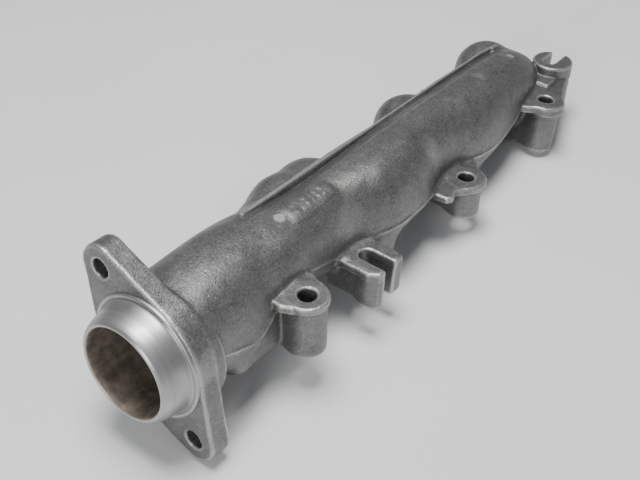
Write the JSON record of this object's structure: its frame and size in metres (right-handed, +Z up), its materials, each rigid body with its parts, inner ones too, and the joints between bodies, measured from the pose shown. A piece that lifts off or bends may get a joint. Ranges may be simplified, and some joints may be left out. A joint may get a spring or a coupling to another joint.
{
  "type": "exhaust manifold",
  "caption": "Log-type cast-iron exhaust manifold that gathers one cylinder bank's ports into a log ending in a two-bolt ball-seat outlet flange.",
  "frame": {"origin": "Centre of the bounding box in X and Y, at its lowest point, the tip of the outlet flange's lower ear. The cylinder-head face is the plane z = 0.0308 m.", "axes": "+X along the log, away from the outlet; +Y towards the far bolt row; +Z up, away from the cylinder head, along the manifold bolts"},
  "size_m": [0.421, 0.1124, 0.1077],
  "materials": {
    "cast_iron": "rough sand-cast skin",
    "machined_iron": "turned and milled, satin"
  },
  "bodies": {
    "root": {"outlet_ball_seat": "machined_iron", "outlet_flange": "cast_iron", "outlet_collar": "cast_iron", "log_section_1": "cast_iron", "log_section_2": "cast_iron", "log_section_3": "cast_iron", "log_section_4": "cast_iron", "runner_elbow_1": "cast_iron", "runner_elbow_2": "cast_iron", "runner_elbow_3": "cast_iron", "runner_elbow_4": "cast_iron", "port_flange_1": "machined_iron", "port_flange_2": "machined_iron", "port_flange_3": "machined_iron", "port_flange_4": "machined_iron", "bolt_boss_1": "cast_iron", "slotted_lug_2": "cast_iron", "bolt_boss_3": "cast_iron", "bolt_boss_4": "cast_iron", "end_slotted_lug": "cast_iron", "rear_lug_1": "cast_iron", "rear_lug_2": "cast_iron", "rear_lug_3": "cast_iron", "rear_lug_4": "cast_iron", "stiffening_rib": "cast_iron", "cast_pad_1": "cast_iron", "cast_pad_2": "cast_iron"}
  },
  "joints": []
}
